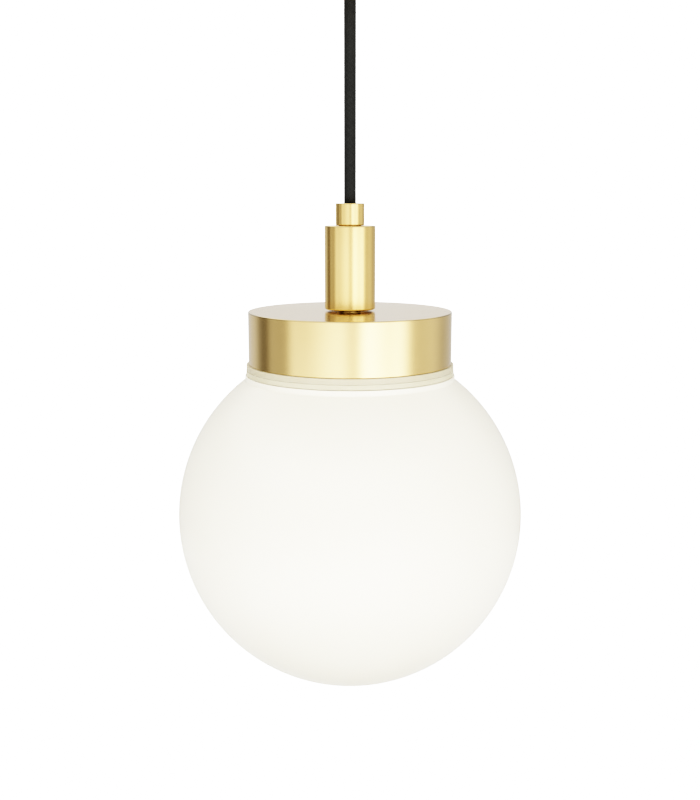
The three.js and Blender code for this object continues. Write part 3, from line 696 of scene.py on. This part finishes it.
GLASS_WALL = 3
GLASS_GAP = 0.2  # the fine dark line between the seal and the glass
SHOULDER_RADIUS = 60.3
SHOULDER_BLEND = 0.012  # radians from the sphere's last point to the shoulder's foot
NECK_BORE = 48


def make_globe():
    globe, seal, insert = extent("globe_glass"), extent("globe_seal"), extent("thread_insert")
    centre = globe.foot + globe.radius
    inside = globe.radius - GLASS_WALL
    shoulder_top = seal.foot - SEAL_LIP - GLASS_GAP
    shoulder_foot = centre + math.sqrt(globe.radius**2 - SHOULDER_RADIUS**2)
    sphere_end = math.asin((shoulder_foot - centre) / globe.radius) - SHOULDER_BLEND
    outline = [
        *sphere_rows(centre, globe.radius, -math.pi / 2, sphere_end, 110),
        (SHOULDER_RADIUS, shoulder_foot, 0.8),
        (SHOULDER_RADIUS, shoulder_top, 0.6),
        (GLOBE_THREAD.root + 0.5, shoulder_top, 0),
        *wall_rows(GLOBE_THREAD.root, shoulder_top + 0.5, globe.top - 0.6, THREAD_STEP),
        (GLOBE_THREAD.root - 0.5, globe.top, 0),
        (NECK_BORE + 0.6, globe.top, 0),
        (NECK_BORE, globe.top - 0.6, 0),
        *sphere_rows(centre, inside, math.acos(NECK_BORE / inside), -math.pi / 2, 80),
    ]
    press = thread_press(GLOBE_THREAD, insert.foot, globe.top, False)
    turned_piece("opal_globe", outline, "globe_glass", closed=False, sides=256, press=press)


make_insert()
make_seal()
make_globe()

# ---- Lampholder and lamp ----

HOLDER_WALL = 2
SHELL_WALL = 0.8
SHELL_THREAD_TOP = -42
LAMP_STEP = 0.3


def make_holder():
    cap, skirt, shell = extent("holder_cap"), extent("holder_skirt"), extent("holder_shell")
    hub = 9
    hub_foot = cap.top - 11.5
    cap_outline = [
        (TUBE_HOLE, cap.top, 0.3),
        (hub, cap.top, 0.8),
        (hub + 0.6, cap.top - 5, 1.2),
        (cap.radius - 3, hub_foot - 1, 2.5),
        (cap.radius, hub_foot - 6, 2.5),
        (cap.radius, cap.foot, 0.4),
        (cap.radius - HOLDER_WALL, cap.foot, 0.3),
        (cap.radius - HOLDER_WALL, hub_foot - 5, 1.0),
        (cap.radius - 5, hub_foot - 3, 1.0),
        (TUBE_HOLE, hub_foot - 0.8, 0.3),
    ]
    turned_piece("lampholder_cap", cap_outline, "holder_cap", sides=128)
    wall = inner_wall(LAMP_THREAD)
    bore = wall + SHELL_WALL + 0.3
    lap = cap.radius - HOLDER_WALL - 0.3
    skirt_outline = [
        (bore, skirt.top, 0.3),
        (lap, skirt.top, 0.3),
        (lap, cap.foot - 0.3, 0.1),
        (skirt.radius, cap.foot - 0.3, 0.4),
        (skirt.radius, cap.foot - 8, 1.5),
        (skirt.radius - 2.4, skirt.foot + 1, 0.8),
        (skirt.radius - 3.4, skirt.foot, 0.6),
        (bore, skirt.foot, 0.4),
    ]
    turned_piece("lampholder_skirt", skirt_outline, "holder_skirt", sides=128)
    thread_foot, thread_top = shell.foot, SHELL_THREAD_TOP
    shell_outline = [
        (6.5, shell.top, 0.2),
        (wall + SHELL_WALL, shell.top, 0.6),
        (wall + SHELL_WALL, thread_foot, 0),
        *wall_rows(wall, thread_foot, thread_top, LAMP_STEP),
        (wall, shell.top - SHELL_WALL, 0.4),
        (6.5, shell.top - SHELL_WALL, 0.2),
    ]
    press = thread_press(LAMP_THREAD, thread_foot, thread_top, True)
    turned_piece("lampholder_shell", shell_outline, "holder_shell", sides=96, press=press)


def make_lamp():
    tip, collar = extent("lamp_tip"), extent("lamp_insulator")
    cap, body, bulb = extent("lamp_shell"), extent("lamp_body"), extent("lamp_bulb")
    tip_outline = [
        (0, tip.foot, 0),
        (4.8, tip.foot, 0.2),
        (4.6, tip.top - 0.9, 0.5),
        (2.6, tip.top, 0.6),
        (0, tip.top, 0),
    ]
    turned_piece("lamp_contact", tip_outline, "lamp_tip", closed=False, sides=64)
    collar_outline = [
        (0, collar.foot, 0),
        (10.4, collar.foot, 0.3),
        (6, collar.top, 0.5),
        (0, collar.top, 0),
    ]
    turned_piece("lamp_insulator_ring", collar_outline, "lamp_insulator", closed=False, sides=96)
    cap_outline = [
        (9.6, cap.top, 0.2),
        *wall_rows(LAMP_THREAD.root, cap.top - 0.6, cap.foot, LAMP_STEP),
        (LAMP_THREAD.root - 0.9, cap.foot, 0),
        (LAMP_THREAD.root - 0.9, cap.top - 1.2, 0.4),
        (9.2, cap.top - 0.8, 0.2),
    ]
    press = thread_press(LAMP_THREAD, cap.foot + 2, cap.top - 0.6, False)
    turned_piece("lamp_screw_cap", cap_outline, "lamp_shell", sides=96, press=press)
    centre = bulb.foot + bulb.radius
    split = bulb.top - centre
    rim = math.sqrt(bulb.radius**2 - split**2)
    body_outline = [
        (LAMP_THREAD.root + 1, body.top, 0.4),
        (LAMP_THREAD.root + 4, body.top - 5, 3),
        (rim, body.foot, 0.2),
        (rim - 1.8, body.foot, 0.2),
        (LAMP_THREAD.root + 2, body.top - 5, 2),
        (LAMP_THREAD.root - 1, body.top, 0.4),
    ]
    turned_piece("lamp_housing", body_outline, "lamp_body", sides=128)
    edge = math.asin(split / bulb.radius)
    bulb_outline = [
        *sphere_rows(centre, bulb.radius, -math.pi / 2, edge, 48),
        *sphere_rows(centre, bulb.radius - 1.2, edge, -math.pi / 2, 40),
    ]
    turned_piece("lamp_dome", bulb_outline, "lamp_bulb", closed=False, sides=128)


make_holder()
make_lamp()

# ---- Ceiling rose ----

ROSE_SCREW_HEIGHT = -10
ROSE_SCREW_RADIUS = 1.8
GRIP_SCREW_RADIUS = 1.5
ALONG_X = Matrix.Rotation(math.pi / 2, 4, "Y")


def tool_mesh(shape):
    """A mesh to cut with or to join, from a bmesh, which it frees."""
    mesh = bpy.data.meshes.new("tool")
    shape.to_mesh(mesh)
    shape.free()
    return mesh


def box_tool(low, high):
    """A block from corner low to corner high in millimetres."""
    shape = bmesh.new()
    bmesh.ops.create_cube(shape, size=1)
    size = Vector(high) - Vector(low)
    middle = (Vector(high) + Vector(low)) / 2
    bmesh.ops.scale(shape, vec=size * MM, verts=shape.verts)
    bmesh.ops.translate(shape, vec=middle * MM, verts=shape.verts)
    return tool_mesh(shape)


def cylinder_tool(radius, length, segments, place):
    """A cylinder in millimetres about Z, turned and moved by the matrix place."""
    shape = bmesh.new()
    sizes = {"radius1": radius * MM, "radius2": radius * MM, "depth": length * MM}
    bmesh.ops.create_cone(shape, cap_ends=True, segments=segments, **sizes)
    bmesh.ops.transform(shape, matrix=place, verts=shape.verts)
    return tool_mesh(shape)


def rod_tool(radius, start, end, height):
    """A rod along X, in millimetres."""
    place = Matrix.Translation(Vector(((start + end) / 2, 0, height)) * MM)
    return cylinder_tool(radius, end - start, 48, place @ ALONG_X)


def post_tool(radius, x, y):
    """An upright rod that passes through the ceiling plate, in millimetres."""
    return cylinder_tool(radius, 10, 64, Matrix.Translation(Vector((x, y, -1)) * MM))


def bent_tab(side, face, half, leg, thickness, foot):
    """A strip that leaves the plate and bends down to foot, with round bends."""
    start, bend = 36, 2.6
    outline = [
        (start, 0, 0),
        (face, 0, bend),
        (face, foot, 0.3),
        (face - leg, foot, 0.3),
        (face - leg, -thickness, 0.6),
        (start, -thickness, 0),
    ]
    points, _ = rounded([(x * MM, z * MM, fillet * MM) for x, z, fillet in outline], True)
    count = len(points)
    near = [(side * p.x, -half * MM, p.y) for p in points]
    far = [(side * p.x, half * MM, p.y) for p in points]
    faces = [tuple(range(count)), tuple(range(2 * count - 1, count - 1, -1))]
    for i in range(count):
        j = (i + 1) % count
        faces.append((j, i, count + i, count + j))
    shape = bmesh.new()
    corners = [shape.verts.new(place) for place in near + far]
    for ring in faces:
        shape.faces.new([corners[k] for k in ring])
    bmesh.ops.recalc_face_normals(shape, faces=shape.faces)
    return tool_mesh(shape)


def carve(piece, tools, operation="DIFFERENCE"):
    """Cuts the tool meshes from a piece, or joins them to it, and keeps crisp edges crisp."""
    helpers = []
    for tool in tools:
        helper = bpy.data.objects.new("helper", tool)
        bpy.context.scene.collection.objects.link(helper)
        helpers.append(helper)
        modifier = piece.modifiers.new("carve", "BOOLEAN")
        modifier.operation = operation
        modifier.solver = "EXACT"
        modifier.object = helper
    evaluated = piece.evaluated_get(bpy.context.evaluated_depsgraph_get())
    mesh = bpy.data.meshes.new_from_object(evaluated)
    piece.modifiers.clear()
    piece.data = mesh
    mesh.set_sharp_from_angle(angle=math.radians(40))
    for helper in helpers:
        bpy.data.objects.remove(helper)


def make_cup():
    cup = extent("rose_cup", CEILING)
    inner, floor = cup.radius - BRASS_WALL, cup.foot + BRASS_WALL
    outline = [
        (TUBE_HOLE + 0.1, cup.foot, 0.15),
        (cup.radius, cup.foot, 2.4),
        (cup.radius, cup.top, 0.3),
        (inner, cup.top, 0.3),
        (inner, floor, 1.6),
        (TUBE_HOLE + 0.1, floor, 0.15),
    ]
    piece = turned_piece("rose_cup_shell", outline, "rose_cup", base=CEILING, sides=256)
    reach = cup.radius + 1
    carve(piece, [rod_tool(ROSE_SCREW_RADIUS + 0.3, -reach, reach, ROSE_SCREW_HEIGHT)])


def make_rose_screw(index, side):
    """A slotted brass screw along X, with its head against the cup."""
    cup = extent("rose_cup", CEILING)
    outline = [
        (0, -7.5, 0),
        (ROSE_SCREW_RADIUS, -7.5, 0.4),
        (ROSE_SCREW_RADIUS, 0, 0.1),
        (3.6, 0, 0.2),
        (3.6, 1.1, 0.5),
        (2.5, 2.2, 1.0),
        (0, 2.2, 0),
    ]
    node = f"rose_screw_{index}"
    piece = turned_piece(f"cup_screw_{index}", outline, node, base=0, closed=False, sides=64)
    carve(piece, [box_tool((-6, -0.54, 1.2), (6, 0.54, 4))])
    turn = Matrix.Rotation(side * math.pi / 2, 4, "Y") @ Matrix.Rotation(0.5 * index, 4, "Z")
    place = Vector((side * (cup.radius + 0.05), 0, ROSE_SCREW_HEIGHT)) * MM
    piece.data.transform(Matrix.Translation(place) @ turn)


def make_grip():
    grip = extent("cord_grip", CEILING)
    cup = extent("rose_cup", CEILING)
    flange = cup.foot - 0.3
    mouth = grip.foot
    outline = [
        (CORD_BORE, grip.top, 0.3),
        (4.8, grip.top, 0.3),
        (4.8, flange, 0.1),
        (grip.radius, flange, 0.3),
        (grip.radius, flange - 2.2, 0.6),
        (9, flange - 2.2, 0.5),
        (7.4, mouth, 0.5),
        (6.5, mouth, 0.6),
        (5.4, mouth + 2.1, 1.5),
        (4.4, mouth + 4.1, 1.5),
        (CORD_BORE, mouth + 4.8, 0.6),
    ]
    piece = turned_piece("grip_bell", outline, "cord_grip", base=CEILING)
    height = mouth + 10
    carve(piece, [rod_tool(GRIP_SCREW_RADIUS + 0.3, 0, grip.radius, height)])
    screw_outline = [
        (0, CORD_BORE, 0),
        (GRIP_SCREW_RADIUS, CORD_BORE, 0.3),
        (GRIP_SCREW_RADIUS, 8.2, 0.3),
        (0, 8.2, 0),
    ]
    screw = turned_piece(
        "grip_grub_screw", screw_outline, "grip_screw", base=0, closed=False, sides=48
    )
    carve(screw, [box_tool((-3, -0.25, 7.4), (3, 0.25, 9))])
    screw.data.transform(Matrix.Translation((0, 0, height * MM)) @ ALONG_X)


def make_ceiling_plate():
    """A pressed steel plate with two bent tabs, two screw slots and a cable hole."""
    plate = extent("ceiling_plate", CEILING)
    radius, thickness = 42, 2.5
    outline = [
        (0, -thickness, 0),
        (radius, -thickness, 0.4),
        (radius, 0, 0.4),
        (0, 0, 0),
    ]
    piece = turned_piece("rose_plate", outline, "ceiling_plate", base=CEILING, closed=False)
    face, width, leg = 47.3, 12, 2
    tabs = [bent_tab(side, face, width / 2, leg, thickness, plate.foot) for side in (-1, 1)]
    carve(piece, tabs, "UNION")
    slot_tools = []
    for y in (-30, 30):
        slot_tools.append(box_tool((-3, y - 2.5, -5), (3, y + 2.5, 2)))
        slot_tools += [post_tool(2.5, x, y) for x in (-3, 3)]
    screw_holes = rod_tool(ROSE_SCREW_RADIUS + 0.3, -face - 2, face + 2, ROSE_SCREW_HEIGHT)
    carve(piece, [*slot_tools, post_tool(8, 22, 0), screw_holes])


make_cup()
make_grip()
for index, side in ((1, -1), (2, 1)):
    make_rose_screw(index, side)
make_ceiling_plate()

# ---- Floor, studio light and film ----

WHITE = 3.6  # what the camera sees past the object
FLOOR_PAINTED_SHADOW = 0.05  # glow that the floor sends to the object from straight below it, kept low: a painted shadow of the object on the floor
FLOOR_FAR = 1.15
FLOOR_FRONT = 2.7  # more glow towards the camera's side: a painted pool of light on the floor
FLOOR_DEPTH = 1.5
FLOOR_BLEND = (0.4, 1.5)  # metres out, where the painted shadow's level gives way to the far one
FLOOR_SIZE = 6.0


def camera_sees(tree, seen, otherwise):
    """Background colour: one level for camera rays and another for the light that objects get."""
    is_seen = add_node(tree, "ShaderNodeLightPath").outputs["Is Camera Ray"]
    return mixed(tree, is_seen, otherwise, (seen, seen, seen))


def share(tree, value, start, end):
    """0 up to start, 1 from end on, and smooth between them."""
    inputs = {"Value": value, "From Min": start, "From Max": end}
    node = add_node(tree, "ShaderNodeMapRange", inputs, interpolation_type="SMOOTHSTEP")
    return node.outputs["Result"]


# The floor glows rather than reflects: plain white to the camera, and to the object a painted shadow straight
# below it, with a brighter glow further out and more towards the camera.
def make_floor():
    mesh = bpy.data.meshes.new("floor")
    half = FLOOR_SIZE / 2
    corners = [(-half, -half), (half, -half), (half, half), (-half, half)]
    mesh.from_pydata([(x, y, 0) for x, y in corners], [], [(0, 1, 2, 3)])
    floor = bpy.data.objects.new("floor", mesh)
    floor.location.z = -FLOOR_DEPTH
    bpy.context.scene.collection.objects.link(floor)
    material = bpy.data.materials.new("floor_glow_painted_shadow")
    material.use_nodes = True
    tree = material.node_tree
    tree.nodes.clear()
    place = position(tree)
    reach = add_node(tree, "ShaderNodeVectorMath", {0: place}, operation="LENGTH").outputs["Value"]
    y = add_node(tree, "ShaderNodeSeparateXYZ", {0: place}).outputs["Y"]
    front = maths(tree, "MAXIMUM", maths(tree, "DIVIDE", y, maths(tree, "MULTIPLY", reach, -1)), 0)
    far = maths(tree, "MULTIPLY_ADD", front, FLOOR_FRONT, FLOOR_FAR)
    away = share(tree, reach, *FLOOR_BLEND)
    rise = maths(tree, "MULTIPLY", maths(tree, "SUBTRACT", far, FLOOR_PAINTED_SHADOW), away)
    colour = camera_sees(tree, WHITE, maths(tree, "ADD", rise, FLOOR_PAINTED_SHADOW))
    glow = add_node(tree, "ShaderNodeEmission", {"Color": colour})
    add_node(tree, "ShaderNodeOutputMaterial", {"Surface": glow.outputs[0]})
    mesh.materials.append(material)


# Light that comes in level, by the direction it comes from in degrees: 0 is the camera's side,
# and positive is to its right. It changes softly from each level to the next.
LEVEL_LIGHT = [
    (-180, 0.88),  # back wall
    (-158, 0.71),
    (-136, 0.70),
    (-112, 0.22),  # dark flag
    (-107, 0.22),
    (-97, 0.60),  # left wall
    (-76, 0.48),
    (-65, 1.15),  # fill
    (-52, 1.05),
    (-12, 1.53),  # front window
    (5, 0.89),  # camera's shade
    (19, 2.48),  # key window
    (43, 1.94),
    (56, 2.28),
    (76, 0.76),  # right wall
    (101, 0.88),
    (129, 0.55),  # dark corner
    (147, 0.60),
    (180, 0.88),
]
HIGH_SHADE = 3.2  # how fast the light from the camera's side falls off upwards
SKY_LIGHT = 3.0
SKY_FRONT = 1.6  # more from the camera's side
SKY_LEFT = 2.6
ZENITH = 0.6
LEVEL_TO_SKY = (0.30, 0.65)  # steepness over which the level light gives way to the sky's
SOFTBOX = 2.0  # over the camera
SOFTBOX_FOOT = (0.24, 0.40)
SOFTBOX_TOP = (0.55, 0.80)
BRIGHTEST = 4.0


def make_studio():
    """Soft studio light round the object, and plain white where the camera looks past it."""
    world = bpy.data.worlds.new("studio")
    bpy.context.scene.world = world
    world.use_nodes = True
    tree = world.node_tree
    tree.nodes.clear()
    direction = add_node(tree, "ShaderNodeTexCoord").outputs["Generated"]
    x, y, z = add_node(tree, "ShaderNodeSeparateXYZ", {0: direction}).outputs
    front = maths(tree, "MULTIPLY", y, -1)
    lit_front = maths(tree, "MAXIMUM", front, 0)
    turn = maths(tree, "MULTIPLY_ADD", maths(tree, "ARCTAN2", x, front), 1 / (2 * math.pi), 0.5)
    stops = [((degrees + 180) / 360, (level / BRIGHTEST,) * 3) for degrees, level in LEVEL_LIGHT]
    level = maths(tree, "MULTIPLY", ramp(tree, turn, stops, "EASE"), BRIGHTEST)
    shade = maths(tree, "MULTIPLY", maths(tree, "MULTIPLY", z, lit_front), -HIGH_SHADE)
    level = maths(tree, "MULTIPLY", level, maths(tree, "ADD", shade, 1))
    steepness = maths(tree, "ABSOLUTE", z)
    sky = maths(tree, "MULTIPLY_ADD", lit_front, SKY_FRONT, SKY_LIGHT)
    left = maths(tree, "MAXIMUM", maths(tree, "MULTIPLY", x, -1), 0)
    sky = maths(tree, "MULTIPLY_ADD", left, SKY_LEFT, sky)
    sky = maths(tree, "MULTIPLY", sky, maths(tree, "SUBTRACT", 1, steepness))
    sky = maths(tree, "MULTIPLY_ADD", steepness, ZENITH, sky)
    light = mixed(tree, share(tree, steepness, *LEVEL_TO_SKY), level, sky)
    high = maths(tree, "SUBTRACT", share(tree, z, *SOFTBOX_FOOT), share(tree, z, *SOFTBOX_TOP))
    box = maths(tree, "MULTIPLY", maths(tree, "MULTIPLY", lit_front, high), SOFTBOX)
    light = add_node(
        tree, "ShaderNodeVectorMath", {0: light, 1: box}, operation="ADD"
    ).outputs["Vector"]
    colour = camera_sees(tree, WHITE, light)
    background = add_node(tree, "ShaderNodeBackground", {"Color": colour, "Strength": 1.0})
    add_node(tree, "ShaderNodeOutputWorld", {"Surface": background.outputs[0]})


FILM_WHITE = 3.5
FILM_SHOULDER = 1.98  # how fast the highlights level off
FILM_TOE = 0.228  # below this the shadows deepen
FILM_TOE_POWER = 1.66


def film(light):
    """Film response: a toe that deepens the shadows and a shoulder that softens the highlights."""
    if light <= 0:
        return 0.0
    toe = light**FILM_TOE_POWER / (light**FILM_TOE_POWER + FILM_TOE**FILM_TOE_POWER)
    return (1 - math.exp(-FILM_SHOULDER * light)) * toe


def set_film():
    view = bpy.context.scene.view_settings
    view.view_transform = "Standard"
    view.look = "None"
    view.use_curve_mapping = True
    mapping = view.curve_mapping
    mapping.white_level = (FILM_WHITE,) * 3
    curve = mapping.curves[3]
    steps = 40
    for i in range(1, steps):
        place = (i / steps) ** 2
        curve.points.new(place, film(place * FILM_WHITE) / film(FILM_WHITE))
    mapping.update()


make_floor()
make_studio()
set_film()
